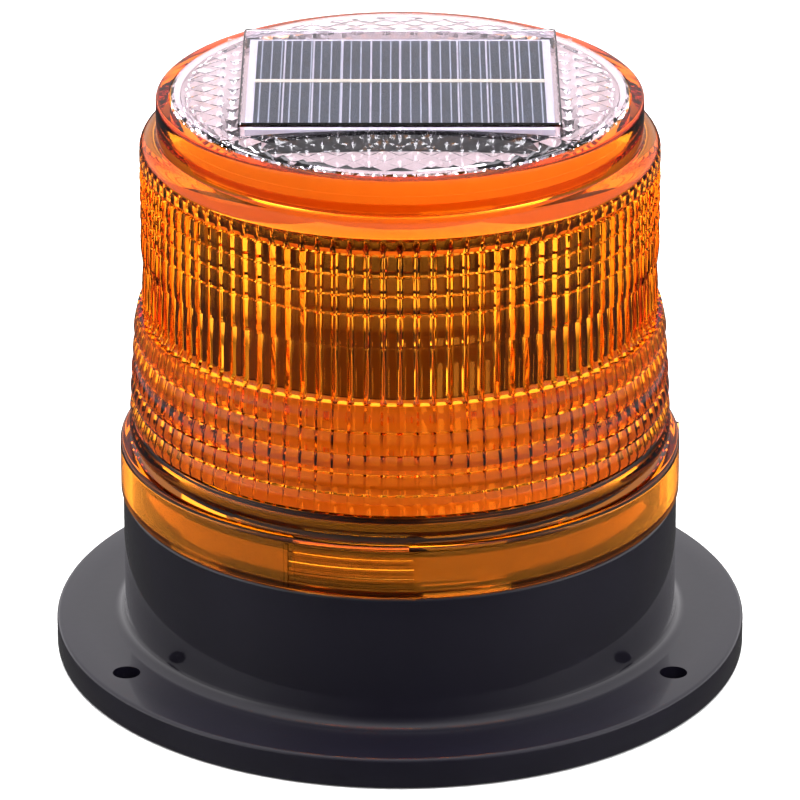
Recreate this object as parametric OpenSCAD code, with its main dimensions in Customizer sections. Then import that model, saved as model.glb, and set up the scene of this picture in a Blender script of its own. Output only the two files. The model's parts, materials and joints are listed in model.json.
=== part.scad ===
// Barricade warning light: a solar amber beacon that turns and lifts off a bolt-down base.
// Millimetres, +Z up, origin at the centre of the underside of the base flange.
// The grip pads, bayonet lugs and hooks repeat at equal angles round the Z axis.

/* [Base] */
// Diameter of the bolt-down flange
flange_d = 140; // [138:0.5:144]
// Thickness of the flange
flange_t = 6.5; // [5:0.5:8]
// Diameter of the round body above the flange
body_d = 112; // [111.6:0.1:112.4]
// Height of the body's shoulder, where the lens sits
body_h = 34.3; // [34:0.1:34.6]
// Number of holding-down holes
hole_count = 3; // [3:1:4]
// Diameter of the circle that the holes lie on
hole_circle_d = 126; // [125:0.5:128]
// Diameter of each holding-down hole
hole_d = 5.5; // [4.5:0.1:6.5]

/* [Lens] */
// Outer diameter of the smooth skirt round the base's neck
skirt_d = 112.8; // [112.4:0.1:113.2]
// Height of the top of the skirt's ledge
ledge_z = 45.4; // [45.2:0.1:45.8]
// Height where the wide ringed band steps in to the ribbed one
step_z = 73.4; // [72:0.2:75]
// Outer diameter of the ribbed upper band
ribbed_d = 103.2; // [103:0.1:103.6]
// Height where the round shoulder starts
shoulder_z = 106.9; // [106.5:0.1:107.2]
// Outer diameter of the smooth collar
collar_d = 96.3; // [96:0.1:96.6]
// Height of the top of the collar
collar_z = 118; // [117.6:0.1:118.2]
// Thickness of the moulded lens wall
lens_wall = 2.4; // [2.2:0.1:2.5]

/* [Bayonet] */
// Number of lugs round the neck
lug_count = 3; // [2:1:4]
// Angle that each lug takes up
lug_angle = 27; // [20:1:28]
// Direction of the first lug, from +X
lug_start = -100; // [-180:5:180]
// Height that the lens gains in one whole turn
thread_lead = 30; // [25:1:32]

/* [Solar panel] */
// Width of the panel, from side to side
panel_w = 60; // [56:0.5:61]
// Depth of the panel, from front to back
panel_d = 49; // [44:0.5:50]
// Number of cell strips
cell_count = 10; // [6:1:12]

/* [Lamp] */
// Number of light-emitting diodes round the drum
led_count = 12; // [6:1:16]
// Outer diameter of the drum that carries them
drum_d = 60; // [58:0.5:61]

/* [Hidden] */

$fn = 96;
eps = 0.01;
// Clearance between pieces that move past each other
gap = 0.3;
// Slack that lets one fixed piece drop into another
slack = 0.1;

// Base
flange_r = flange_d / 2;
body_r = body_d / 2;
base_wall = 3;
neck_r = 52.2;
neck_bore_r = 49.7;
neck_z = 43.4;
cove_r = 2.5;
edge_r = 0.8;
hole_start = 90;

// Lens
skirt_r = skirt_d / 2;
skirt_bore_r = 54.2;
skirt_z = body_h + gap;
skirt_roof_z = neck_z + 0.4;
band_low_r = 54.1;
band_top_r = 52.8;
band_rings = 7;
ring_proud = 0.35;
ribbed_r = ribbed_d / 2;
groove_heights = [84.5, 91.4, 95.4, 99.5, 103.8];
groove_depth = 0.5;
collar_r = collar_d / 2;
collar_bore_r = 45.4;
shoulder_r = ribbed_r - collar_r;
seat_z = 112.5;
seat_r = 43.6;
plate_stop_r = 50;
plate_stop_t = 1.2;

// Grip pads on the skirt
pad_proud = 0.6;
ridge_proud = 0.4;
pad_border = 0.9;
pad_ridges = 4;
pad_low_z = skirt_z + 0.3;
pad_top_z = ledge_z - edge_r - 0.3;
slot_wall = 1;

// Bayonet: lugs stand out of the neck, hooks stand in from the skirt and slope like a screw thread
lug_r = 53.8;
lug_top_z = 42.2;
hook_r = 52.6;
hook_low_z = 36.3;
ramp_z = 39.2;
ramp_r = 53.2;
ramp_tilt = atan(thread_lead / (2 * PI * ramp_r));
stop_angle = 2;
stop_gap_angle = 0.6;

// Seal: a flat rubber ring in the roof of the skirt, over the lugs
seal_bore_r = neck_r + 0.4;
seal_outer_r = skirt_bore_r - gap;
seal_low_z = lug_top_z + gap;
seal_top_z = skirt_roof_z - gap;

// Stack under the cap
canister_r = 41.6;
canister_bore_r = 39.6;
canister_z = 70.5;
canister_floor_t = 2;
canister_floor_z = canister_z + canister_floor_t;
canister_top_z = seat_z - slack;
carrier_r = 45.2;
carrier_t = 1.6;
carrier_top_z = seat_z + carrier_t;
carrier_skirt_r = 43.4;
carrier_skirt_z = 104;
carrier_rim_bore_r = 43.1;
carrier_rim_z = 116.4;
cap_r = 45.1;
cap_bore_r = 42.9;
cap_low_z = carrier_rim_z + slack;
cap_edge_z = 118.6;
cap_crown = 2.3;
cap_roof_z = 117.6;
window_w = 63;
window_d = 54;
window_z = 121.8;
window_t = 1.6;
pad_margin = 3;
pad_front = 32;
pad_t = 1;
board_t = 1.6;
panel_z = 118;
cell_t = 0.25;
cell_gap = 0.35;
cell_margin = 1.4;
busbar_w = 1.6;
busbar_t = 0.1;

// Head plate, drum and lamps
plate_r = 51.2;
plate_t = 2;
plate_z = ledge_z;
plate_top_z = plate_z + plate_t;
gasket_t = 0.8;
drum_r = drum_d / 2;
drum_wall = 2;
led_board_t = 0.4;
led_board_low_z = 53;
led_board_h = 13;
led_z = 60;
tie_circle_r = 22;
tie_count = 3;
tie_hole_r = 1.6;
tie_post_r = 3.4;
tie_screw_r = 1.2;
tie_head_r = 2.8;
tie_head_t = 1.8;
tie_top_z = 76.5;
rib_t = 1.2;
rib_overlap = 0.6;
lamp_w = 3.5;
lamp_d = 2.8;
lamp_t = 0.7;
lamp_dome_r = 1.1;

// Electronics in the canister
controller_w = 56;
controller_d = 40;
controller_z = 78;
controller_top_z = controller_z + board_t;
standoff_x = 24;
standoff_y = 16;
standoff_r = 3;
board_screw_r = 1;
board_head_r = 2.2;
board_head_t = 1.3;
recess_w = 0.5;
recess_deep = 0.6;
cell_r = 9.1;
cell_len = 65;
cell_z = 94;
holder_w = 74;
holder_d = 21;
holder_z = 83.9;
holder_top_z = 97;
holder_leg_x = 34;
holder_leg_y = 7;
holder_leg_r = 2.5;
contact_room = 3.5;
contact_side = 9;
lead_r = 0.6;
led_lead_x = 10;
led_lead_hole_r = 2.5;
switch_lead_hole_r = 3.5;
panel_lead_x = 15;
panel_lead_y = 16;
lead_pitch = 3;

// Switch under the head plate
switch_y = -14;
switch_w = 14;
switch_d = 7;
switch_h = 5.5;
slider_w = 3;
slider_travel = 4;

black = [0.09, 0.085, 0.12];
amber = [0.98, 0.5, 0.1, 0.75];

// Points of an arc, angles in degrees
function arc(centre_r, centre_z, radius, from_angle, to_angle, steps = 6) =
    [for (i = [0 : steps]) let (a = from_angle + (to_angle - from_angle) * i / steps)
        [centre_r + radius * cos(a), centre_z + radius * sin(a)]];

// Wide disc
module disc(radius, low_z, high_z) {
    translate([0, 0, low_z])
        cylinder(r = radius, h = high_z - low_z);
}

// Ring with a square section
module ring(inner_r, outer_r, low_z, high_z) {
    translate([0, 0, low_z])
        rotate_extrude()
            translate([inner_r, 0])
                square([outer_r - inner_r, high_z - low_z]);
}

// Part of a ring, centred on a direction
module sector(inner_r, outer_r, low_z, high_z, width_angle, direction) {
    rotate([0, 0, direction - width_angle / 2])
        translate([0, 0, low_z])
            rotate_extrude(angle = width_angle)
                translate([inner_r, 0])
                    square([outer_r - inner_r, high_z - low_z]);
}

// Block centred on X and Y
module block(size, low_z) {
    translate([-size.x / 2, -size.y / 2, low_z])
        cube(size);
}

// Upright rod
module rod(radius, low_z, high_z) {
    translate([0, 0, low_z])
        cylinder(r = radius, h = high_z - low_z, $fn = 32);
}

// Cross-recessed screw that points up, with its head below the given height
module screw_up(shank_r, head_r, head_t, under_z, tip_z) {
    rod(shank_r, under_z - eps, tip_z);
    difference() {
        rod(head_r, under_z - head_t, under_z);
        block([head_r * 1.2, recess_w, recess_deep], under_z - head_t - eps);
        block([recess_w, head_r * 1.2, recess_deep], under_z - head_t - eps);
    }
}

// Cross-recessed screw that points down, with its head above the given height
module screw_down(shank_r, head_r, head_t, under_z, tip_z) {
    translate([0, 0, under_z])
        mirror([0, 0, 1])
            screw_up(shank_r, head_r, head_t, 0, under_z - tip_z);
}

// Round wire through a list of points
module wire(points) {
    for (i = [0 : len(points) - 2]) {
        way = points[i + 1] - points[i];
        translate(points[i])
            rotate([0, acos(way.z / norm(way)), atan2(way.y, way.x)])
                cylinder(r = lead_r, h = norm(way), $fn = 16);
        if (i > 0) translate(points[i]) sphere(r = lead_r, $fn = 16);
    }
}

// Everything below the sloping bayonet plane of a lug that points along +X
module below_ramp(height) {
    translate([0, 0, height])
        rotate([ramp_tilt, 0, 0])
            translate([0, -neck_r / 2, -10])
                cube([60, neck_r, 10]);
}

module each_lug() {
    for (i = [0 : lug_count - 1])
        rotate([0, 0, lug_start + i * 360 / lug_count])
            children();
}

module each_tie() {
    for (i = [0 : tie_count - 1])
        rotate([0, 0, 90 + i * 360 / tie_count])
            translate([tie_circle_r, 0, 0])
                children();
}

module each_standoff() {
    for (x = [-standoff_x, standoff_x], y = [-standoff_y, standoff_y])
        translate([x, y, 0])
            children();
}

// Black moulded base: flange, cup, neck and bayonet lugs
function base_outline() = concat(
    [[0, 0], [flange_r - edge_r, 0]],
    arc(flange_r - edge_r, edge_r, edge_r, -90, 0),
    arc(flange_r - edge_r, flange_t - edge_r, edge_r, 0, 90),
    arc(body_r + cove_r, flange_t + cove_r, cove_r, 270, 180),
    arc(body_r - edge_r, body_h - edge_r, edge_r, 0, 90),
    [[neck_r, body_h], [neck_r, neck_z], [neck_bore_r, neck_z], [neck_bore_r, base_wall], [0, base_wall]]);

module neck_lug() {
    difference() {
        sector(neck_r - eps, lug_r, ramp_z - 3, lug_top_z, lug_angle, 0);
        below_ramp(ramp_z);
    }
    sector(neck_r - eps, lug_r, hook_low_z, lug_top_z, stop_angle,
           -lug_angle / 2 - stop_gap_angle - stop_angle / 2);
}

module base_housing() {
    color(black)
        difference() {
            union() {
                rotate_extrude()
                    polygon(base_outline());
                each_lug() neck_lug();
            }
            for (i = [0 : hole_count - 1])
                rotate([0, 0, hole_start + i * 360 / hole_count])
                    translate([hole_circle_d / 2, 0, 0])
                        rod(hole_d / 2, -1, flange_t + 1);
        }
}

module lens_seal() {
    color([0.12, 0.12, 0.12])
        ring(seal_bore_r, seal_outer_r, seal_low_z, seal_top_z);
}

// Amber lens: one moulding from the skirt to the collar
function band_r(z) = band_low_r + (band_top_r - band_low_r) * (z - ledge_z) / (step_z - ledge_z);

function band_outline() = [
    for (i = [0 : band_rings - 1])
        let (pitch = (step_z - ledge_z) / band_rings, z = ledge_z + i * pitch)
            each [[band_r(z) + ring_proud, z], [band_r(z + pitch) - ring_proud, z + pitch]]];

function groove_outline() = [
    for (z = groove_heights)
        each [[ribbed_r, z - groove_depth], [ribbed_r - groove_depth, z], [ribbed_r, z + groove_depth]]];

function lens_outline() = concat(
    [[skirt_bore_r, skirt_z], [skirt_r, skirt_z]],
    arc(skirt_r - edge_r, ledge_z - edge_r, edge_r, 0, 90),
    band_outline(),
    [[ribbed_r, step_z]],
    groove_outline(),
    arc(collar_r, shoulder_z, shoulder_r, 0, 90),
    arc(collar_r - edge_r, collar_z - edge_r, edge_r, 0, 90),
    [[collar_bore_r, collar_z], [collar_bore_r, seat_z], [seat_r, seat_z],
     [seat_r, seat_z - lens_wall], [collar_r - lens_wall, seat_z - lens_wall],
     [ribbed_r - lens_wall, shoulder_z], [ribbed_r - lens_wall, step_z + 1],
     [band_top_r - lens_wall, step_z - 2],
     [band_low_r - lens_wall, plate_top_z + gasket_t + plate_stop_t],
     [plate_stop_r, plate_top_z + gasket_t + plate_stop_t], [plate_stop_r, plate_top_z + gasket_t],
     [band_low_r - lens_wall, plate_top_z + gasket_t],
     [band_low_r - lens_wall, skirt_roof_z], [skirt_bore_r, skirt_roof_z]]);

module grip_pad() {
    ridge_pitch = (pad_top_z - pad_low_z) / (pad_ridges + 0.5);
    for (side = [-1, 1])
        sector(skirt_r - 1, skirt_r + pad_proud, pad_low_z, pad_top_z, pad_border, side * lug_angle / 2);
    for (i = [0 : pad_ridges - 1])
        sector(skirt_r - 0.7, skirt_r + ridge_proud, pad_low_z + (i + 0.75) * ridge_pitch,
               pad_low_z + (i + 1.25) * ridge_pitch, lug_angle - pad_border, 0);
}

module lens_hook() {
    intersection() {
        sector(hook_r, skirt_bore_r + 1, hook_low_z, lug_top_z, lug_angle, 0);
        below_ramp(ramp_z - gap);
    }
}

module lens() {
    color(amber)
        difference() {
            union() {
                rotate_extrude()
                    polygon(lens_outline());
                each_lug() grip_pad();
                each_lug() lens_hook();
            }
            each_lug() sector(band_low_r + ring_proud + 0.1, skirt_r - slot_wall, ledge_z - 1, ledge_z + 1,
                              lug_angle - 3, 0);
        }
}

// Clear cap: shallow dish with a crowned top, a flat window and a pocket for the panel
module clear_cap() {
    crown_r = (cap_r * cap_r + cap_crown * cap_crown) / (2 * cap_crown);
    crown_angle = asin(cap_r / crown_r);
    color([0.85, 0.9, 0.95, 0.4])
        difference() {
            union() {
                rotate_extrude()
                    polygon(concat(
                        [[0, cap_low_z], [cap_r, cap_low_z]],
                        arc(0, cap_edge_z + cap_crown - crown_r, crown_r, 90 - crown_angle, 90, 12)));
                block([window_w, window_d, window_z - cap_roof_z], cap_roof_z);
            }
            disc(cap_bore_r, cap_low_z - 1, cap_roof_z);
            block([panel_w + 1, panel_d + 1, window_z - window_t - cap_roof_z + 1], cap_roof_z - 1);
        }
}

module panel_board() {
    color([0.85, 0.86, 0.9])
        block([panel_w, panel_d, board_t], panel_z);
}

module solar_cells() {
    pitch = (panel_w - 2 * cell_margin) / cell_count;
    color([0.28, 0.32, 0.42])
        for (i = [0 : cell_count - 1])
            translate([-panel_w / 2 + cell_margin + (i + 0.5) * pitch, 0, 0])
                block([pitch - cell_gap, panel_d - 2 * cell_margin, cell_t], panel_z + board_t);
}

module cell_busbar() {
    color([0.9, 0.86, 0.72])
        block([panel_w - 2 * cell_margin, busbar_w, busbar_t], panel_z + board_t + cell_t);
}

// Black foam: a block that holds the panel up against the window, and a thin tongue in front of it
module panel_pad() {
    color([0.1, 0.1, 0.11])
        difference() {
            union() {
                block([panel_w - 2 * pad_margin, panel_d - 2 * pad_margin, panel_z - carrier_top_z],
                      carrier_top_z);
                translate([0, -pad_front / 2, 0])
                    block([panel_w - 2 * pad_margin, pad_front, pad_t], carrier_top_z);
            }
            panel_lead_hole();
        }
}

module panel_lead_hole() {
    translate([panel_lead_x, panel_lead_y, 0])
        block([7, 4, panel_z - canister_z + 1], canister_z);
}

// White tray that rests on the lens's seat, closes the canister and carries the panel and the cap
module panel_carrier() {
    color([0.93, 0.92, 0.9])
        difference() {
            union() {
                disc(carrier_r, seat_z, carrier_top_z);
                ring(canister_r + slack, carrier_skirt_r, carrier_skirt_z, seat_z + eps);
                ring(carrier_rim_bore_r, carrier_r - slack, carrier_top_z - eps, carrier_rim_z);
            }
            panel_lead_hole();
        }
}

// Black cup under the carrier that holds the battery and the electronics
module canister() {
    color(black)
        difference() {
            union() {
                difference() {
                    disc(canister_r, canister_z, canister_top_z);
                    disc(canister_bore_r, canister_floor_z, canister_top_z + 1);
                }
                each_tie() rod(tie_post_r, canister_z + 1, tie_top_z + 0.5);
                each_standoff() rod(standoff_r, canister_z + 1, controller_z);
            }
            each_tie() rod(tie_screw_r + 0.05, canister_z - 1, tie_top_z + 0.2);
            each_standoff() rod(board_screw_r + 0.05, canister_floor_z + 0.5, controller_z + 1);
            translate([led_lead_x, 0, 0]) rod(led_lead_hole_r, canister_z - 1, canister_floor_z + 1);
            translate([0, switch_y, 0]) rod(switch_lead_hole_r, canister_z - 1, canister_floor_z + 1);
        }
}

module canister_label() {
    color([0.37, 0.34, 0.29])
        sector(canister_r + 0.02, canister_r + 0.17, canister_z + 0.5, 95, 72, -99);
}

module controller_board() {
    color([0.05, 0.3, 0.15])
        difference() {
            block([controller_w, controller_d, board_t], controller_z);
            each_standoff() rod(board_screw_r + 0.3, controller_z - 1, controller_top_z + 1);
        }
}

// Integrated circuits and connectors on the controller board: x, y, width, depth, height
chips = [[-10, 8, 10, 10, 1.6], [6, -8, 5, 4, 1.5], [-8, -9, 7, 7, 1.2], [20, 0, 6, 5, 1.4]];

module controller_chips() {
    color([0.12, 0.12, 0.13])
        for (chip = chips)
            translate([chip[0], chip[1], 0])
                block([chip[2], chip[3], chip[4]], controller_top_z + eps);
}

module inductor() {
    color([0.3, 0.3, 0.32])
        translate([6, 4, 0])
            difference() {
                rod(4, controller_top_z + eps, controller_top_z + 3.6);
                rod(1.2, controller_top_z + 2.4, controller_top_z + 5);
            }
}

module capacitor() {
    color([0.2, 0.25, 0.5])
        translate([-21, -1, controller_top_z + eps])
            rotate_extrude($fn = 32)
                polygon([[0, 0], [2.9, 0], [3.1, 0.3], [3.1, 3.6], [2.8, 3.9], [0, 3.9]]);
}

module board_screws() {
    color([0.7, 0.7, 0.72])
        each_standoff()
            screw_down(board_screw_r, board_head_r, board_head_t, controller_top_z, canister_floor_z + 1);
}

module battery_cell() {
    color([0.15, 0.4, 0.75])
        translate([-cell_len / 2, 0, cell_z])
            rotate([0, 90, 0])
                rotate_extrude($fn = 64)
                    polygon(concat([[0, 0]], arc(cell_r - 0.6, 0.6, 0.6, -90, 0, 3),
                        arc(cell_r - 0.6, cell_len - 2, 0.6, 0, 90, 3),
                        [[3, cell_len - 1.4], [3, cell_len], [0, cell_len]]));
}

module battery_holder() {
    color([0.14, 0.14, 0.15])
        difference() {
            union() {
                block([holder_w, holder_d, holder_top_z - holder_z], holder_z);
                for (x = [-holder_leg_x, holder_leg_x], y = [-holder_leg_y, holder_leg_y])
                    translate([x, y, 0]) rod(holder_leg_r, canister_floor_z, holder_z + eps);
            }
            translate([-cell_len / 2 - contact_room, 0, cell_z])
                rotate([0, 90, 0])
                    cylinder(r = cell_r + 0.15, h = cell_len + 2 * contact_room);
            block([cell_len + 2 * contact_room, 2 * cell_r + 0.3, holder_top_z - cell_z + 1], cell_z);
        }
}

module battery_spring() {
    wire_r = 0.4;
    turns = 3;
    color([0.8, 0.8, 0.8]) {
        for (i = [0 : turns - 1])
            translate([-cell_len / 2 - 2.9 + i, 0, cell_z])
                rotate([0, 90, 0])
                    rotate_extrude($fn = 32)
                        translate([4 - i * 0.8, 0])
                            circle(r = wire_r, $fn = 16);
        translate([-cell_len / 2 - contact_room + 0.02, -contact_side / 2, cell_z - contact_side / 2])
            cube([0.3, contact_side, contact_side]);
    }
}

module battery_contact() {
    color([0.8, 0.8, 0.8])
        translate([cell_len / 2 + contact_room - 0.4, -contact_side / 2, cell_z - contact_side / 2])
            cube([0.35, contact_side, contact_side]);
}

// White drum between the head plate and the canister, with the lamps round it
module led_drum() {
    rib_len = drum_r - drum_wall - tie_circle_r - tie_post_r + rib_overlap + 0.5;
    color([0.93, 0.93, 0.9])
        difference() {
            union() {
                ring(drum_r - drum_wall, drum_r, plate_top_z, canister_z);
                each_tie() rod(tie_post_r, plate_top_z, canister_z);
                each_tie()
                    translate([tie_post_r - rib_overlap, -rib_t / 2, plate_top_z])
                        cube([rib_len, rib_t, canister_z - plate_top_z]);
            }
            each_tie() rod(tie_hole_r, plate_top_z - 1, canister_z + 1);
            translate([drum_r - drum_wall - 1, 0, led_z])
                rotate([0, 90, 0])
                    cylinder(r = 2 * lead_r, h = drum_wall + 2, $fn = 32);
        }
}

module led_board() {
    color([0.92, 0.92, 0.88])
        ring(drum_r, drum_r + led_board_t, led_board_low_z, led_board_low_z + led_board_h);
}

module led_chips() {
    color([1, 0.85, 0.4])
        for (i = [0 : led_count - 1])
            rotate([0, 0, i * 360 / led_count])
                translate([drum_r + led_board_t, 0, led_z])
                    rotate([0, 90, 0]) {
                        block([lamp_w, lamp_d, lamp_t], 0.05);
                        rod(lamp_dome_r, lamp_t - 0.1, lamp_t + 0.4);
                    }
}

module reflector() {
    color([0.95, 0.95, 0.93])
        rotate_extrude()
            polygon([[drum_r + 0.6, plate_top_z], [drum_r + 2.5, plate_top_z],
                     [plate_stop_r - 0.4, plate_top_z + 2.8], [plate_stop_r - 0.4, plate_top_z + 4],
                     [drum_r + 0.6, plate_top_z + 1.4]]);
}

module plate_gasket() {
    color([0.15, 0.15, 0.15])
        ring(plate_stop_r + 0.1, plate_r - 0.1, plate_top_z, plate_top_z + gasket_t);
}

module head_plate() {
    color(black)
        difference() {
            disc(plate_r, plate_z, plate_top_z);
            each_tie() rod(tie_hole_r, plate_z - 1, plate_top_z + 1);
            translate([0, switch_y, 0]) block([6, 3, plate_t + 2], plate_z - 1);
        }
}

module tie_screws() {
    color([0.7, 0.7, 0.72])
        each_tie() screw_up(tie_screw_r, tie_head_r, tie_head_t, plate_z, tie_top_z);
}

module switch_body() {
    color([0.2, 0.2, 0.2])
        translate([0, switch_y, 0])
            difference() {
                block([switch_w, switch_d, switch_h], plate_z - switch_h);
                block([slider_w + slider_travel + 2 * gap, slider_w + 2 * gap, 3.5],
                      plate_z - switch_h - 1);
            }
}

// Thumb piece of the power switch, off at the left end of its slot
module switch_slider() {
    color([0.9, 0.9, 0.9])
        translate([-slider_travel / 2, switch_y, 0]) {
            block([slider_w, slider_w, 5], plate_z - switch_h - 3);
            block([slider_w - 1, slider_w - 1, 0.6], plate_z - switch_h - 3.5);
        }
}

module panel_leads() {
    color([0.7, 0.1, 0.1])
        for (x = [panel_lead_x - lead_pitch / 2, panel_lead_x + lead_pitch / 2])
            wire([[x, panel_lead_y, panel_z], [x, panel_lead_y, controller_top_z]]);
}

module battery_leads() {
    lead_y = -holder_d / 2 - 1;
    color([0.7, 0.1, 0.1])
        for (side = [-1, 1])
            wire([[side * 30, lead_y, holder_z + 6], [side * 30, lead_y, holder_z - 2],
                  [side * 14, lead_y, holder_z - 2], [side * 14, lead_y, controller_top_z]]);
}

module led_leads() {
    color([0.1, 0.1, 0.7])
        wire([[led_lead_x, 0, controller_z], [led_lead_x, 0, led_z], [drum_r, 0, led_z]]);
}

module switch_leads() {
    color([0.1, 0.1, 0.7])
        for (x = [-1.8, 1.8])
            wire([[x, switch_y, controller_z], [x, switch_y, plate_z]]);
}

base_housing();
lens_seal();
lens();
clear_cap();
panel_board();
solar_cells();
cell_busbar();
panel_pad();
panel_carrier();
canister();
canister_label();
controller_board();
controller_chips();
inductor();
capacitor();
board_screws();
battery_cell();
battery_holder();
battery_spring();
battery_contact();
led_drum();
led_board();
led_chips();
reflector();
plate_gasket();
head_plate();
tie_screws();
switch_body();
switch_slider();
panel_leads();
battery_leads();
led_leads();
switch_leads();
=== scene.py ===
# %% [markdown]
# # A solar barricade warning light
# The light is a black bolt-down base, an amber lens that turns and lifts off it, and a clear cap
# over a solar panel. The CAD model is the fixed frame: it says where everything is and what moves.
# Here the parts that the eye rests on are modelled again, finely, and every other part keeps its
# CAD shape and gets the finish of its real material.

# %% Load the frame
import json
import math

import bmesh
import bpy
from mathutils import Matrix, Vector


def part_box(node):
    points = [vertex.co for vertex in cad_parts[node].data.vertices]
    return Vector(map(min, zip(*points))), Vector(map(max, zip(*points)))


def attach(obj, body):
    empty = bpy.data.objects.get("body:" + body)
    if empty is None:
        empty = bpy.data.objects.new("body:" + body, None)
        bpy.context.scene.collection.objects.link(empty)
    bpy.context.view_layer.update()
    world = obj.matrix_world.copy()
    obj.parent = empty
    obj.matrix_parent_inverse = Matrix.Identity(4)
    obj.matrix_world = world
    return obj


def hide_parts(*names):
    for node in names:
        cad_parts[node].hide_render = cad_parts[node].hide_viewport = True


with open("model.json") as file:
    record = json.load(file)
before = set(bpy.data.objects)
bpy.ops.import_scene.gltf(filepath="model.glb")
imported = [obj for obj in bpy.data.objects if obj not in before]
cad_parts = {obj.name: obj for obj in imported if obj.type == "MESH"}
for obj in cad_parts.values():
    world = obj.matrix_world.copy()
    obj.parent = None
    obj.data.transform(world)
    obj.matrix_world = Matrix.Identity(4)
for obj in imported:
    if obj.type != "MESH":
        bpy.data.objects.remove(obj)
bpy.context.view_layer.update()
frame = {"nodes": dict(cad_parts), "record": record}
MM = 0.001

# %% [markdown]
# ## Small helpers
# Operators act on whatever is selected, so every new piece starts from nothing selected. Vertices and
# faces are then picked by where they are, which keeps working when a size changes.


# %% Selecting and picking
def only(obj):
    """Selects one object and nothing else, in object mode."""
    if bpy.context.object and bpy.context.object.mode != "OBJECT":
        bpy.ops.object.mode_set(mode="OBJECT")
    bpy.ops.object.select_all(action="DESELECT")
    if obj:
        obj.select_set(True)
        bpy.context.view_layer.objects.active = obj
    return obj


def edit(obj, everything=True):
    """Opens one object in edit mode with all or none of it selected."""
    only(obj)
    bpy.ops.object.mode_set(mode="EDIT")
    bpy.ops.mesh.select_all(action="SELECT" if everything else "DESELECT")


def pick_points(obj, test):
    """Selects the vertices whose place in mm passes the test, in edit mode."""
    bpy.ops.mesh.select_mode(type="VERT")
    mesh = bmesh.from_edit_mesh(obj.data)
    for point in mesh.verts:
        point.select = bool(test(point.co / MM))
    mesh.select_flush_mode()
    bmesh.update_edit_mesh(obj.data)


def pick_faces(obj, test):
    """Selects the faces whose middle, in mm, and normal pass the test, in edit mode."""
    bpy.ops.mesh.select_mode(type="FACE")
    mesh = bmesh.from_edit_mesh(obj.data)
    count = 0
    for face in mesh.faces:
        face.select = bool(test(face.calc_center_median() / MM, face.normal))
        count += face.select
    mesh.select_flush_mode()
    bmesh.update_edit_mesh(obj.data)
    return count


def radius(place):
    return math.hypot(place.x, place.y)


def bearing(place):
    """Direction of a place round the Z axis, in degrees from +X."""
    return math.degrees(math.atan2(place.y, place.x))


def off_by(place, direction):
    """How far a place is round from a direction, in degrees."""
    return abs((bearing(place) - direction + 180) % 360 - 180)


# %% Turning an outline
def arc(middle_r, middle_z, size, start, stop, steps):
    """Points on an arc in the outline's plane, angles in degrees from outwards."""
    turn = [math.radians(start + (stop - start) * i / steps) for i in range(steps + 1)]
    return [(middle_r + size * math.cos(a), middle_z + size * math.sin(a)) for a in turn]


def turned(name, outline, steps):
    """A closed outline of (radius, height) in mm, drawn point by point and spun round the Z axis."""
    only(None)
    start = Vector((outline[0][0], 0, outline[0][1])) * MM
    bpy.ops.mesh.primitive_plane_add(size=MM, location=start)
    obj = bpy.context.object
    obj.name = name
    bpy.ops.object.transform_apply(location=True)
    edit(obj)
    bpy.ops.mesh.select_mode(type="VERT")
    bpy.ops.mesh.merge(type="CENTER")
    here = outline[0]
    for there in outline[1:] + outline[:1]:
        step = ((there[0] - here[0]) * MM, 0, (there[1] - here[1]) * MM)
        bpy.ops.mesh.extrude_region_move(TRANSFORM_OT_translate={"value": step})
        here = there
    bpy.ops.mesh.select_all(action="SELECT")
    bpy.ops.mesh.remove_doubles(threshold=0.002 * MM)
    bpy.ops.mesh.select_all(action="SELECT")
    bpy.ops.mesh.spin(steps=steps, angle=math.tau, center=(0, 0, 0), axis=(0, 0, 1))
    bpy.ops.mesh.select_all(action="SELECT")
    bpy.ops.mesh.remove_doubles(threshold=0.002 * MM)
    bpy.ops.mesh.normals_make_consistent(inside=False)
    return obj


def finish_mesh(obj, smooth_angle):
    """Back to object mode, with place and size in the mesh and edges sharper than the angle left sharp."""
    only(obj)
    bpy.ops.object.transform_apply(location=True, rotation=True, scale=True)
    bpy.ops.object.shade_smooth_by_angle(angle=math.radians(smooth_angle))
    print(obj.name, len(obj.data.polygons), "faces")
    return obj


def box(name, low, high):
    """A block between two corners in mm."""
    only(None)
    middle = (Vector(low) + Vector(high)) / 2 * MM
    bpy.ops.mesh.primitive_cube_add(size=1, location=middle)
    obj = bpy.context.object
    obj.name = name
    obj.scale = (Vector(high) - Vector(low)) * MM
    bpy.ops.object.transform_apply(location=True, rotation=True, scale=True)
    return obj


def boolean(obj, tool, operation):
    """Cuts, joins or keeps what two pieces share, and removes the tool."""
    only(obj)
    modifier = obj.modifiers.new(operation, "BOOLEAN")
    modifier.operation = operation
    modifier.solver = "EXACT"
    modifier.object = tool
    bpy.ops.object.modifier_apply(modifier=modifier.name)
    bpy.data.objects.remove(tool)


# %% [markdown]
# ## Materials
# Each finish starts from what the real one is. Colours are given as the hex values that a screen shows
# and are turned into the linear values that light adds up in.


# %% Material helpers
def colour(code):
    """A screen colour such as #FF8800 as linear red, green, blue and alpha."""
    parts = [int(code[i:i + 2], 16) / 255 for i in (1, 3, 5)]
    linear = [c / 12.92 if c <= 0.04045 else ((c + 0.055) / 1.055) ** 2.4 for c in parts]
    return (*linear, 1.0)


def add_node(material, kind, settings=None, links=None):
    """Adds a node, sets its inputs or properties by name, and links its inputs from other sockets."""
    node = material.node_tree.nodes.new(kind)
    for name, value in (settings or {}).items():
        if isinstance(name, int) or name in node.inputs:
            node.inputs[name].default_value = value
        else:
            setattr(node, name, value)
    for name, socket in (links or {}).items():
        material.node_tree.links.new(socket, node.inputs[name])
    return node


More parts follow.
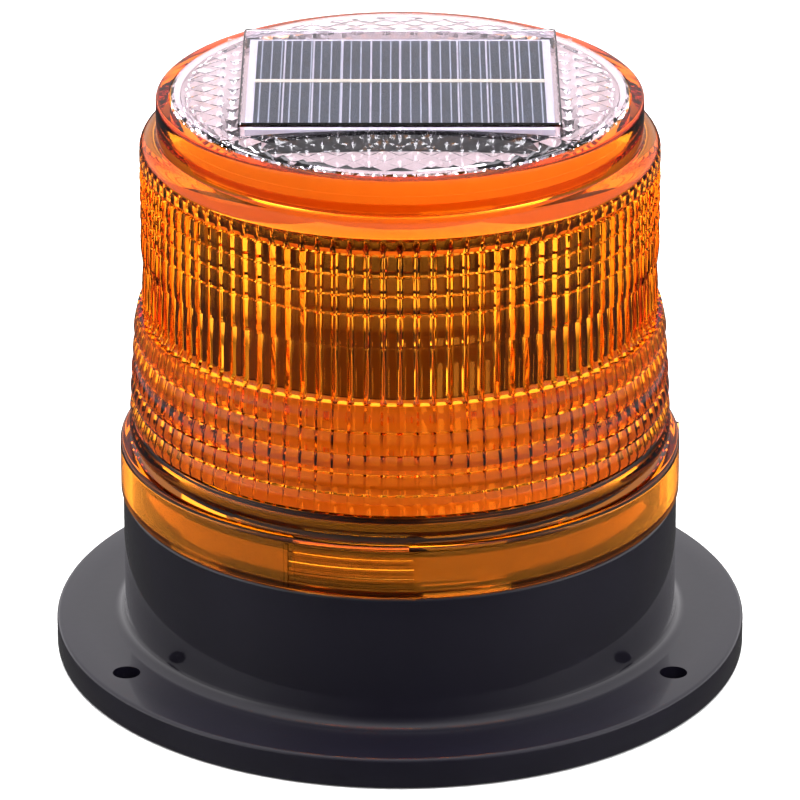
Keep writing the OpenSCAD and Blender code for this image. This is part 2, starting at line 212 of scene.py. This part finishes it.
def new_material(name, settings):
    """A material whose one Principled shader has these settings."""
    material = bpy.data.materials.new(name)
    material.use_nodes = True
    shader = material.node_tree.nodes["Principled BSDF"]
    for key, value in settings.items():
        shader.inputs[key].default_value = value
    return material, shader


def plug(material, socket, target):
    material.node_tree.links.new(socket, target)


def grain(material, size_mm, detail=2.0):
    """Noise in object space whose lumps are about this many millimetres across."""
    place = add_node(material, "ShaderNodeTexCoord")
    return add_node(material, "ShaderNodeTexNoise",
                    {"Scale": 1 / (size_mm * MM), "Detail": detail}, {"Vector": place.outputs["Object"]})


def mottle(material, shader, noise, dark, light):
    """Colour that drifts a little between two near tones, as pigment does in a moulding."""
    ramp = add_node(material, "ShaderNodeMix", {"data_type": "RGBA"}, {0: noise.outputs["Fac"]})
    ramp.inputs[6].default_value = colour(dark)
    ramp.inputs[7].default_value = colour(light)
    plug(material, ramp.outputs[2], shader.inputs["Base Color"])


def vary_gloss(material, shader, noise, low, high):
    """Roughness that wanders between two values, which breaks up a highlight."""
    span = add_node(material, "ShaderNodeMapRange", {"To Min": low, "To Max": high},
                    {"Value": noise.outputs["Fac"]})
    plug(material, span.outputs[0], shader.inputs["Roughness"])


def bumps(material, shader, noise, height_mm, strength=1.0):
    """Fine relief of this height in millimetres."""
    bump = add_node(material, "ShaderNodeBump", {"Strength": strength, "Distance": height_mm * MM},
                    {"Height": noise.outputs["Fac"]})
    plug(material, bump.outputs[0], shader.inputs["Normal"])


# %% [markdown]
# ### Amber and clear polycarbonate
# Both are injection-moulded polycarbonate, index 1.585, with a polished mould finish. The amber dye
# takes blue out first and then green. Most of it is set as a tint on every crossing of the surface,
# which keeps one orange wherever light leaves, and the rest as absorption inside, which lets long
# paths through the wall go deeper. All absorption would turn the flutes' edges red.

# %% Polycarbonates
AMBER_ABSORPTION_PER_M = 400.0
amber, amber_shader = new_material("amber_polycarbonate", {
    "Base Color": colour("#FFBA80"), "Transmission Weight": 1.0, "IOR": 1.585, "Roughness": 0.02})
vary_gloss(amber, amber_shader, grain(amber, 6.0), 0.015, 0.035)
amber_dye = add_node(amber, "ShaderNodeVolumeAbsorption",
                     {"Color": colour("#FFEA00"), "Density": AMBER_ABSORPTION_PER_M})
plug(amber, amber_dye.outputs[0], amber.node_tree.nodes["Material Output"].inputs["Volume"])

clear, clear_shader = new_material("clear_polycarbonate", {
    "Base Color": colour("#F6F3FA"), "Transmission Weight": 1.0, "IOR": 1.585, "Roughness": 0.01})
vary_gloss(clear, clear_shader, grain(clear, 6.0), 0.008, 0.025)

# %% [markdown]
# ### Opaque plastics, rubber and metal
# ABS from a polished mould is glossy with a barely visible orange-peel. Housings that nobody sees are
# spark-eroded, so they are matt with a fine grain. Plated steel is a metal with a satin surface.


# %% Everyday finishes
SKIN_INDEX = 1.8


def plastic(name, dark, light, rough_low, rough_high, grain_mm, relief_mm, skin=0.0):
    """An opaque plastic; skin is how much of the denser gloss of a polished mould lies on top."""
    material, shader = new_material(name, {"Coat Weight": skin, "Coat IOR": SKIN_INDEX})
    mottle(material, shader, grain(material, 14.0), dark, light)
    noise = grain(material, grain_mm, 4.0)
    vary_gloss(material, shader, noise, rough_low, rough_high)
    bumps(material, shader, noise, relief_mm)
    return material


def metal(name, dark, light, rough_low, rough_high):
    material, shader = new_material(name, {"Metallic": 1.0})
    mottle(material, shader, grain(material, 3.0), dark, light)
    vary_gloss(material, shader, grain(material, 0.8), rough_low, rough_high)
    return material


FINISHES = {
    "base_abs": plastic("gloss_black_abs", "#100E17", "#14121D", 0.26, 0.34, 1.2, 0.003, 1.0),
    "seal_rubber": plastic("nitrile_rubber", "#141414", "#1C1C1C", 0.55, 0.7, 0.4, 0.01),
    "panel_laminate": plastic("white_laminate", "#DDDAEA", "#ECE9F4", 0.2, 0.3, 1.0, 0.003),
    "foam": plastic("black_eva_foam", "#111012", "#1D1B1F", 0.75, 0.95, 0.5, 0.05),
    "carrier_plastic": plastic("pale_pink_carrier_abs", "#F4DCDA", "#FAE8E6", 0.3, 0.45, 0.5, 0.006),
    "canister_abs": plastic("matt_black_abs", "#0F0D10", "#161316", 0.35, 0.5, 0.4, 0.01),
    "label_film": plastic("grey_label_film", "#575044", "#645C4F", 0.35, 0.5, 0.6, 0.003),
    "circuit_board": plastic("green_solder_resist", "#0A4423", "#0F5A30", 0.2, 0.35, 0.5, 0.005),
    "chip_epoxy": plastic("black_moulded_epoxy", "#1A1A1B", "#262628", 0.5, 0.65, 0.2, 0.008),
    "ferrite": plastic("ferrite", "#2A2A2D", "#3A3A3E", 0.6, 0.75, 0.2, 0.01),
    "capacitor_sleeve": plastic("blue_pvc_sleeve", "#1B2A6B", "#24388A", 0.25, 0.35, 0.8, 0.004),
    "battery_sleeve": plastic("battery_shrink_sleeve", "#1B5FA8", "#2470BE", 0.2, 0.3, 0.8, 0.004),
    "holder_plastic": plastic("black_nylon", "#151516", "#202022", 0.45, 0.6, 0.3, 0.01),
    "white_abs": plastic("white_abs", "#F0EEE6", "#F8F6F0", 0.35, 0.5, 0.5, 0.006),
    "led_resin": plastic("phosphor_resin", "#F2B33C", "#FFC95C", 0.15, 0.3, 0.3, 0.004),
    "switch_plastic": plastic("black_nylon_switch", "#1B1B1C", "#262628", 0.45, 0.6, 0.3, 0.01),
    "wire_red": plastic("red_pvc_insulation", "#9A1414", "#B01C1C", 0.3, 0.4, 0.5, 0.004),
    "wire_blue": plastic("blue_pvc_insulation", "#16168C", "#2020A4", 0.3, 0.4, 0.5, 0.004),
    "tinned_copper": plastic("solder_dipped_ribbon", "#DDD4BA", "#F2EBD6", 0.35, 0.5, 0.6, 0.004),
    "screw_steel": metal("zinc_plated_steel", "#B8B9BC", "#CFD0D2", 0.25, 0.4),
    "contact_steel": metal("nickel_plated_steel", "#C4C0B6", "#DAD6CC", 0.2, 0.35),
    "lens_polycarbonate": amber,
    "cap_polycarbonate": clear,
}
print(len(FINISHES), "finishes")

# %% [markdown]
# ### Silicon cells
# A small panel is cut from one silicon wafer into strips. Each strip is slate blue, from its
# anti-reflection coat, and carries printed silver fingers 2 mm apart. A clear resin coat covers it.
# The fingers are lines of print with no height, so they are a pattern across X and not mesh.

# %% Silicon with printed fingers
FINGER_PITCH = 1.97 * MM
FINGER_SHARE = 0.13
silicon, silicon_shader = new_material("monocrystalline_silicon", {
    "Roughness": 0.4, "Specular IOR Level": 0.08})
cell_place = add_node(silicon, "ShaderNodeTexCoord")
cell_xyz = add_node(silicon, "ShaderNodeSeparateXYZ", None, {0: cell_place.outputs["Object"]})
in_pitches = add_node(silicon, "ShaderNodeMath", {"operation": "DIVIDE", 1: FINGER_PITCH},
                      {0: cell_xyz.outputs["X"]})
share = add_node(silicon, "ShaderNodeMath", {"operation": "FRACT"}, {0: in_pitches.outputs[0]})
finger = add_node(silicon, "ShaderNodeMath", {"operation": "LESS_THAN", 1: FINGER_SHARE},
                  {0: share.outputs[0]})
coat_drift = grain(silicon, 9.0)
silicon_tone = add_node(silicon, "ShaderNodeMix", {"data_type": "RGBA"}, {0: coat_drift.outputs["Fac"]})
silicon_tone.inputs[6].default_value = colour("#18222E")
silicon_tone.inputs[7].default_value = colour("#253244")
cell_colour = add_node(silicon, "ShaderNodeMix", {"data_type": "RGBA"},
                       {0: finger.outputs[0], 6: silicon_tone.outputs[2]})
cell_colour.inputs[7].default_value = colour("#A9B0BE")
plug(silicon, cell_colour.outputs[2], silicon_shader.inputs["Base Color"])
FINISHES["silicon"] = silicon

# %% [markdown]
# ## CAD parts that keep their shape
# The electronics, drum, plate and leads are sealed inside, so their CAD shapes are enough. Each takes
# the finish that the record names for it.

# %% Finish the CAD nodes
slot_of = {part["node"]: part["material_slot"] for part in frame["record"]["subparts"]}
for name, node_object in frame["nodes"].items():
    node_object.data.materials.clear()
    node_object.data.materials.append(FINISHES[slot_of[name]])
print("finished", len(frame["nodes"]), "CAD nodes")

# %% [markdown]
# ## The base
# The base is one glossy black moulding: a flange with three bolt holes, a cup and a neck. It could be
# built from cylinders joined by booleans, but every edge of it is round, so its outline is drawn once
# and spun, and only the holes are cut.

# %% Base outline
base_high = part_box("base_housing")[1]
FLANGE_R = base_high.x / MM
FLANGE_T = 6.5
BODY_R = 56.0
BODY_TOP = 34.3
NECK_R, NECK_BORE, NECK_TOP = 52.2, 49.7, base_high.z / MM
FLOOR_T = 3.0
COVE = 2.5
EDGE = 0.8
base_outline = (
    [(0, 0), (FLANGE_R * 0.5, 0)]
    + arc(FLANGE_R - EDGE, EDGE, EDGE, -90, 0, 4)
    + arc(FLANGE_R - EDGE, FLANGE_T - EDGE, EDGE, 0, 90, 5)
    + [(FLANGE_R - 6, FLANGE_T)]
    + arc(BODY_R + COVE, FLANGE_T + COVE, COVE, 270, 180, 8)
    + [(BODY_R, 15), (BODY_R, 24)]
    + arc(BODY_R - EDGE, BODY_TOP - EDGE, EDGE, 0, 90, 5)
    + [(NECK_R + 0.3, BODY_TOP), (NECK_R, BODY_TOP + 0.3), (NECK_R, NECK_TOP - 0.3),
       (NECK_R - 0.3, NECK_TOP), (NECK_BORE, NECK_TOP), (NECK_BORE, FLOOR_T + 1),
       (NECK_BORE - 1, FLOOR_T), (0, FLOOR_T)])
BASE_STEPS = 192
base = turned("base_shell", base_outline, BASE_STEPS)
only(base)

# %% Bolt holes and bayonet lugs
HOLES, HOLE_CIRCLE_R, HOLE_R, HOLE_START = 3, 63.0, 2.75, 90
for i in range(HOLES):
    turn = math.radians(HOLE_START + 360 / HOLES * i)
    place = (HOLE_CIRCLE_R * math.cos(turn) * MM, HOLE_CIRCLE_R * math.sin(turn) * MM,
             FLANGE_T / 2 * MM)
    only(None)
    bpy.ops.mesh.primitive_cylinder_add(vertices=48, radius=HOLE_R * MM, depth=FLANGE_T * 2 * MM,
                                        location=place)
    boolean(base, bpy.context.object, "DIFFERENCE")

LUG_DIRECTIONS = (-100, 20, 140)
LUG_ANGLE, LUG_R, LUG_TOP, LUG_LOW = 27, 53.8, 42.2, 37.5
RAMP_MIDDLE_Z, RAMP_R = 39.2, 53.2
THREAD_LEAD = 30
RAMP_SLOPE = THREAD_LEAD / (math.tau * RAMP_R)
LUG_ROOT = NECK_R - 0.4
for direction in LUG_DIRECTIONS:
    only(None)
    middle = math.radians(direction)
    bpy.ops.mesh.primitive_plane_add(size=1, rotation=(math.pi / 2, 0, 0))
    lug = bpy.context.object
    lug.name = "lug"
    lug.scale = ((LUG_R - LUG_ROOT) * MM, (LUG_TOP - LUG_LOW) * MM, 1)
    lug.location = ((LUG_R + LUG_ROOT) / 2 * MM, 0, (LUG_TOP + LUG_LOW) / 2 * MM)
    bpy.ops.object.transform_apply(location=True, rotation=True, scale=True)
    lug.rotation_euler.z = middle - math.radians(LUG_ANGLE / 2)
    bpy.ops.object.transform_apply(rotation=True)
    edit(lug)
    bpy.ops.mesh.spin(steps=12, angle=math.radians(LUG_ANGLE), center=(0, 0, 0), axis=(0, 0, 1))
    bpy.ops.mesh.select_all(action="SELECT")
    bpy.ops.mesh.normals_make_consistent(inside=False)
    tangent = Vector((-math.sin(middle), math.cos(middle), 0))
    on_ramp = Vector((math.cos(middle) * RAMP_R, math.sin(middle) * RAMP_R, RAMP_MIDDLE_Z)) * MM
    bpy.ops.mesh.bisect(plane_co=on_ramp, plane_no=Vector((0, 0, 1)) - tangent * RAMP_SLOPE,
                        use_fill=True, clear_inner=True)
    only(lug)
    base.select_set(True)
    bpy.context.view_layer.objects.active = base
    bpy.ops.object.join()
finish_mesh(base, 32)
base.data.materials.clear()
base.data.materials.append(FINISHES["base_abs"])
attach(base, "base")
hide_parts("base_housing")

# %% [markdown]
# ## The amber lens
# The lens is one moulding that throws light all round. Its outside has stacked rings, which bend light
# up and down, and its inside has about a hundred upright flutes, which spread it sideways. Both are real
# relief here, because what shows is the light that they bend. The outline is spun in fine steps, eight
# to a flute, and then each line of points on the inner wall is drawn inwards by its share of the flute.

# %% Lens outline
lens_low, lens_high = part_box("lens")
COLLAR_TOP = lens_high.z / MM
SKIRT_BOTTOM = lens_low.z / MM
SKIRT_R, SKIRT_BORE = 56.4, 54.2
LEDGE = 45.4
SKIRT_ROOF = 43.8
WALL = 2.4
STEP_Z, RIBBED_R = 73.4, 51.6
SHOULDER_Z, COLLAR_R, COLLAR_BORE = 106.9, 48.15, 45.4
SHOULDER = RIBBED_R - COLLAR_R
SEAT_Z, SEAT_R = 112.5, 43.6
PLATE_STOP_R, PLATE_STOP_LOW, PLATE_STOP_HIGH = 50.0, 48.2, 49.4


CREASE_DEPTH, CREASE_HALF = 0.42, 0.25


def rings(heights, radii, bulges, peak, steps=3):
    """Stacked convex rings between heights: each swells to a peak and falls back to a sharp crease."""
    points = []
    for low, high, foot, head, bulge in zip(heights, heights[1:], radii, radii[1:], bulges):
        points.append((foot - CREASE_DEPTH, low))
        for i in range(steps + 1):
            t = i / steps
            swell = math.sin(math.pi * t ** (math.log(0.5) / math.log(peak)))
            points.append((foot + (head - foot) * t + bulge * swell,
                           low + CREASE_HALF + (high - low - 2 * CREASE_HALF) * t))
    return points


BAND_HEIGHTS = [46.4, 50.7, 55.0, 59.1, 63.0, 67.8, 72.4]
BAND_RADII = [54.0, 53.8, 53.6, 53.4, 53.1, 52.8, 52.5]
RIB_HEIGHTS = [84.5, 91.4, 95.4, 99.5, 103.8, SHOULDER_Z + 0.6]
RIB_RADII = [51.45] * 6
RIDGE_ROWS = 4
PAD_LOW, PAD_HIGH = SKIRT_BOTTOM + 0.5, LEDGE - 1.1
ridge_edges = [PAD_LOW + (PAD_HIGH - PAD_LOW) * (i + 0.5) / (2 * RIDGE_ROWS + 1)
               for i in range(2 * RIDGE_ROWS + 1)]
FLUTE_ROWS = [104.2, 105.3, 106.1, 106.6, 106.9]
FLUTE_SHARES = [1.0, 0.92, 0.75, 0.45, 0.0]
lens_outline = (
    [(SKIRT_BORE, SKIRT_BOTTOM), (SKIRT_R - 0.25, SKIRT_BOTTOM), (SKIRT_R, SKIRT_BOTTOM + 0.25),
     (SKIRT_R, PAD_LOW)]
    + [(SKIRT_R, z) for z in ridge_edges] + [(SKIRT_R, PAD_HIGH)]
    + arc(SKIRT_R - EDGE, LEDGE - EDGE, EDGE, 0, 90, 3)
    + [(55.2, LEDGE), (54.7, LEDGE), (54.35, LEDGE)]
    + rings(BAND_HEIGHTS, BAND_RADII, [0.6] * 6, 0.4)
    + [(52.5, 72.4), (52.6, 72.9), (52.45, STEP_Z), (RIBBED_R + 0.1, STEP_Z + 0.05),
       (RIBBED_R - 0.15, 74.2), (51.5, 79.0)]
    + rings(RIB_HEIGHTS, RIB_RADII, [0.22, 0.2, 0.2, 0.2, 0.15], 0.5)
    + arc(COLLAR_R, SHOULDER_Z, SHOULDER, 12, 84, 7)
    + [(COLLAR_R + 0.12, 110.45), (COLLAR_R, 110.75), (COLLAR_R, 114.2)]
    + arc(COLLAR_R - 0.7, COLLAR_TOP - 0.7, 0.7, 0, 90, 3)
    + [(COLLAR_BORE + 0.2, COLLAR_TOP), (COLLAR_BORE, COLLAR_TOP - 0.2), (COLLAR_BORE, SEAT_Z),
       (SEAT_R, SEAT_Z), (SEAT_R, SEAT_Z - WALL), (COLLAR_R - WALL - 0.6, SEAT_Z - WALL),
       (47.6, 108.4)]
    + [(RIBBED_R - WALL, z) for z in reversed(FLUTE_ROWS)]
    + [(RIBBED_R - WALL, STEP_Z + 1)]
    + [(BAND_RADII[5] - WALL, STEP_Z - 2), (BAND_RADII[3] - WALL, 60), (BAND_RADII[1] - WALL, 52.0)]
    + [(BAND_RADII[0] - WALL, PLATE_STOP_HIGH), (PLATE_STOP_R, PLATE_STOP_HIGH),
       (PLATE_STOP_R, PLATE_STOP_LOW), (BAND_RADII[0] - WALL, PLATE_STOP_LOW),
       (BAND_RADII[0] - WALL, SKIRT_ROOF), (SKIRT_BORE, SKIRT_ROOF)])
FLUTES = 100
STEPS_PER_FLUTE = 8
lens = turned("amber_lens", lens_outline, FLUTES * STEPS_PER_FLUTE)
print("lens outline has", len(lens_outline), "points")

# %% Flutes on the inner wall
FLUTE_DEPTH = 0.68
FLUTE_PROFILE = {1: 0.5, 2: 0.98, 3: 1.0, 4: 1.0}
FLUTE_LOW = 50.5
BAND_SHARE = 0.6
step_angle = 360 / (FLUTES * STEPS_PER_FLUTE)


def phase(place):
    """Which line of its flute a point is on, from 0 in the valley to 4 in the middle of the crown."""
    line = round(bearing(place) / step_angle) % STEPS_PER_FLUTE
    return min(line, STEPS_PER_FLUTE - line)


def inside_wall(place):
    return 48.9 < radius(place) < 51.75 and FLUTE_LOW < place.z < FLUTE_ROWS[-1] - 0.05


def raise_flutes(low, high, share):
    """Draws the flutes' lines between two heights in to the axis: two steep flanks and a flat crown."""
    for line, rise in FLUTE_PROFILE.items():
        depth = FLUTE_DEPTH * share * rise
        pick_points(lens, lambda p: low < p.z < high and inside_wall(p) and phase(p) == line)
        size = 1 - depth / (RIBBED_R - WALL)
        bpy.ops.transform.resize(value=(size, size, 1), center_override=(0, 0, 0))


edit(lens, False)
for z, share in list(zip(FLUTE_ROWS, FLUTE_SHARES))[1:-1]:
    raise_flutes(z - 0.05, z + 0.05, share)
raise_flutes(STEP_Z, FLUTE_ROWS[0] + 0.05, 1.0)
raise_flutes(FLUTE_LOW, STEP_Z, BAND_SHARE)

# %% Grip pads and their slots
PAD_ANGLE = 27
RIDGE_PROUD, BORDER_PROUD = 0.4, 0.6
BORDER_ANGLE = 0.9


def on_skirt(place):
    return radius(place) > SKIRT_R - 0.1 and PAD_LOW < place.z < PAD_HIGH


def lift(distance):
    """Extrudes what is selected straight out from the axis."""
    bpy.ops.mesh.extrude_region_move(TRANSFORM_OT_translate={"value": (0, 0, 0)})
    size = 1 + distance / SKIRT_R
    bpy.ops.transform.resize(value=(size, size, 1), center_override=(0, 0, 0))


def near_pad(place, low, high):
    return any(low < off_by(place, d) < high for d in LUG_DIRECTIONS)


ridge_count = 0
for row in range(RIDGE_ROWS):
    low, high = ridge_edges[2 * row], ridge_edges[2 * row + 1]
    ridge_count += pick_faces(lens, lambda c, n: on_skirt(c) and low < c.z < high
                              and near_pad(c, -1, PAD_ANGLE / 2 - BORDER_ANGLE))
    lift(RIDGE_PROUD)
pick_faces(lens, lambda c, n: on_skirt(c) and radius(c) < SKIRT_R + 0.1
           and near_pad(c, PAD_ANGLE / 2 - BORDER_ANGLE, PAD_ANGLE / 2))
lift(BORDER_PROUD)
pick_faces(lens, lambda c, n: 54.7 < radius(c) < 55.2 and abs(c.z - LEDGE) < 0.05
           and near_pad(c, -1, PAD_ANGLE / 2 - 1.5))
bpy.ops.mesh.extrude_region_move(TRANSFORM_OT_translate={"value": (0, 0, -1.2 * MM)})
print("ridge faces", ridge_count)
finish_mesh(lens, 34)
lens.data.materials.clear()
lens.data.materials.append(amber)
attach(lens, "head")
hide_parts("lens")

# %% [markdown]
# ## The clear cap
# The cap is a clear dish over the solar panel. Round the flat window its underside is all small
# four-sided prisms, points down, which scatter the lamp's light upwards. They could be an array of
# cones, but they tile without gaps, so one grid turned by 45 degrees is poked into pyramids, made a
# solid tool, and cut from the blank.

# %% Blank of the cap
cap_low, cap_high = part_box("clear_cap")
CAP_R = cap_high.x / MM
CAP_EDGE, CAP_CROWN = 118.6, 2.9
CAP_BOTTOM = cap_low.z / MM
crown_r = (CAP_R ** 2 + CAP_CROWN ** 2) / (2 * CAP_CROWN)
crown_low = math.degrees(math.acos(CAP_R / crown_r))
LIP_R, LIP_LOW, LIP_T = 42.9, 115.2, 0.8
CAP_STEPS = 160
cap_outline = (
    [(0, LIP_LOW), (LIP_R, LIP_LOW), (LIP_R, CAP_BOTTOM), (CAP_R, CAP_BOTTOM), (CAP_R, CAP_EDGE - 0.3)]
    + arc(0, CAP_EDGE + CAP_CROWN - crown_r, crown_r, crown_low + 0.1, 90, 14))
cap = turned("prismatic_cap", cap_outline, CAP_STEPS)

# %% Prisms under the cap
PRISM_X, PRISM_Y, PRISM_DEPTH = 5.9, 5.3, 2.6
PRISM_BASE = 118.0
GRID = 24
TOOL_DEPTH = 30
only(None)
bpy.ops.mesh.primitive_grid_add(x_subdivisions=GRID, y_subdivisions=GRID, size=GRID * MM,
                                location=(0, 0, 0))
prisms = bpy.context.object
prisms.name = "prism_tool"
edit(prisms)
bpy.ops.mesh.poke(offset=-PRISM_DEPTH * MM)
only(prisms)
prisms.rotation_euler.z = math.pi / 4
bpy.ops.object.transform_apply(rotation=True)
prisms.scale = (PRISM_X / math.sqrt(2), PRISM_Y / math.sqrt(2), 1)
prisms.location = (0, 0, PRISM_BASE * MM)
bpy.ops.object.transform_apply(location=True, scale=True)
edit(prisms, False)
bpy.ops.mesh.select_mode(type="EDGE")
bpy.ops.mesh.select_non_manifold(extend=False)
bpy.ops.mesh.extrude_edges_move(TRANSFORM_OT_translate={"value": (0, 0, -TOOL_DEPTH * MM)})
bpy.ops.mesh.edge_face_add()
bpy.ops.mesh.select_all(action="SELECT")
bpy.ops.mesh.normals_make_consistent(inside=False)
only(prisms)
BORE_R = LIP_R - LIP_T
BORE_LOW, BORE_HIGH = 100, 125
bore_outline = [(0, BORE_LOW), (BORE_R, BORE_LOW), (BORE_R, BORE_HIGH), (0, BORE_HIGH)]
bore = turned("cap_bore", bore_outline, CAP_STEPS)
only(bore)
boolean(prisms, bore, "INTERSECT")
boolean(cap, prisms, "DIFFERENCE")
print("cap after prisms", len(cap.data.polygons))

# %% Window, arms and pocket
WINDOW_X, WINDOW_Y, WINDOW_LOW, WINDOW_TOP = 31.3, 27.0, 117.4, cap_high.z / MM
ARM_IN, ARM_OUT = 31.0, 34.6
ARM_Y, ARM_LOW, ARM_HIGH = 28.5, 116.6, 119.0
POCKET_X, POCKET_Y, POCKET_LOW, POCKET_TOP = 30.8, 26.4, 110, 120.9
window = box("window_plate", (-WINDOW_X, -WINDOW_Y, WINDOW_LOW), (WINDOW_X, WINDOW_Y, WINDOW_TOP))
only(window)
bevel = window.modifiers.new("Bevel", "BEVEL")
bevel.width = 0.35 * MM
bevel.segments = 1
bevel.limit_method = "ANGLE"
bpy.ops.object.modifier_apply(modifier=bevel.name)
boolean(cap, window, "UNION")
for side in (-1, 1):
    arm = box("arm", (min(side * ARM_IN, side * ARM_OUT), -ARM_Y, ARM_LOW),
              (max(side * ARM_IN, side * ARM_OUT), ARM_Y, ARM_HIGH))
    boolean(cap, arm, "UNION")
pocket = box("pocket", (-POCKET_X, -POCKET_Y, POCKET_LOW), (POCKET_X, POCKET_Y, POCKET_TOP))
boolean(cap, pocket, "DIFFERENCE")
finish_mesh(cap, 20)
cap.data.materials.clear()
cap.data.materials.append(clear)
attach(cap, "head")
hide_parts("clear_cap")

# %% [markdown]
# ## Floor, light and camera
# A pale floor and broad soft lights give the plain studio look. The floor is left out of reflections,
# as a small stand would be, so the gloss of the black base stays deep.

# %% Floor
floor_material, floor_shader = new_material("matt_white_floor", {
    "Roughness": 0.9, "Specular IOR Level": 0.1})
mottle(floor_material, floor_shader, grain(floor_material, 60.0), "#F2F2F3", "#F6F6F6")
only(None)
bpy.ops.mesh.primitive_plane_add(size=8, location=(0, 0, 0))
floor = bpy.context.object
floor.name = "floor"
floor.data.materials.append(floor_material)
floor.visible_glossy = False

# %% World and lights
world = bpy.data.worlds.new("studio")
bpy.context.scene.world = world
world.use_nodes = True
sky = world.node_tree.nodes["Background"]
way = add_node(world, "ShaderNodeTexCoord")
way_xyz = add_node(world, "ShaderNodeSeparateXYZ", None, {0: way.outputs["Generated"]})
from_front = add_node(world, "ShaderNodeMapRange", {"From Min": -0.95, "From Max": -0.35,
                      "To Min": 0.08, "To Max": 0.85}, {"Value": way_xyz.outputs["Y"]})
above = add_node(world, "ShaderNodeMapRange", {"From Min": -0.12, "From Max": 0.05,
                 "To Min": 0.08, "To Max": 0.85}, {"Value": way_xyz.outputs["Z"]})
zenith = add_node(world, "ShaderNodeMapRange", {"From Min": 0.08, "From Max": 0.4,
                  "To Min": 1.0, "To Max": 0.62}, {"Value": way_xyz.outputs["Z"]})
both = add_node(world, "ShaderNodeMath", {"operation": "MULTIPLY"},
                {0: from_front.outputs[0], 1: above.outputs[0]})
all_three = add_node(world, "ShaderNodeMath", {"operation": "MULTIPLY"},
                     {0: both.outputs[0], 1: zenith.outputs[0]})
plug(world, all_three.outputs[0], sky.inputs["Strength"])
sky.inputs["Color"].default_value = colour("#FFFCFF")

LIGHT_AIM = Vector((0, 0, 0.06))


def softbox(name, place, width, height, power):
    """A rectangular light that faces the object and leaves no patch of its own in the gloss."""
    only(None)
    bpy.ops.object.light_add(type="AREA", location=place)
    light = bpy.context.object
    light.name = name
    light.data.shape = "RECTANGLE"
    light.data.size = width
    light.data.size_y = height
    light.data.energy = power
    light.visible_glossy = False
    light.rotation_euler = (LIGHT_AIM - Vector(place)).to_track_quat("-Z", "Y").to_euler()


softbox("top_softbox", (0, 0.1, 1.1), 1.2, 1.2, 42)
softbox("left_softbox", (-1.2, 0.1, 0.5), 0.6, 0.9, 4)
softbox("key_softbox", (0.5, -0.95, 0.5), 0.7, 0.7, 8)

# %% Camera
AIM = Vector((0, 0, 0.0521))
CAMERA_DISTANCE, CAMERA_ELEVATION = 1.19, math.radians(23.4)
bpy.ops.object.camera_add(location=AIM + CAMERA_DISTANCE * Vector(
    (0, -math.cos(CAMERA_ELEVATION), math.sin(CAMERA_ELEVATION))))
camera = bpy.context.object
camera.rotation_euler = (AIM - camera.location).to_track_quat("-Z", "Y").to_euler()
camera.data.lens = 265.95
camera.data.sensor_width = 36
bpy.context.scene.camera = camera
bpy.context.scene.view_settings.view_transform = "Standard"
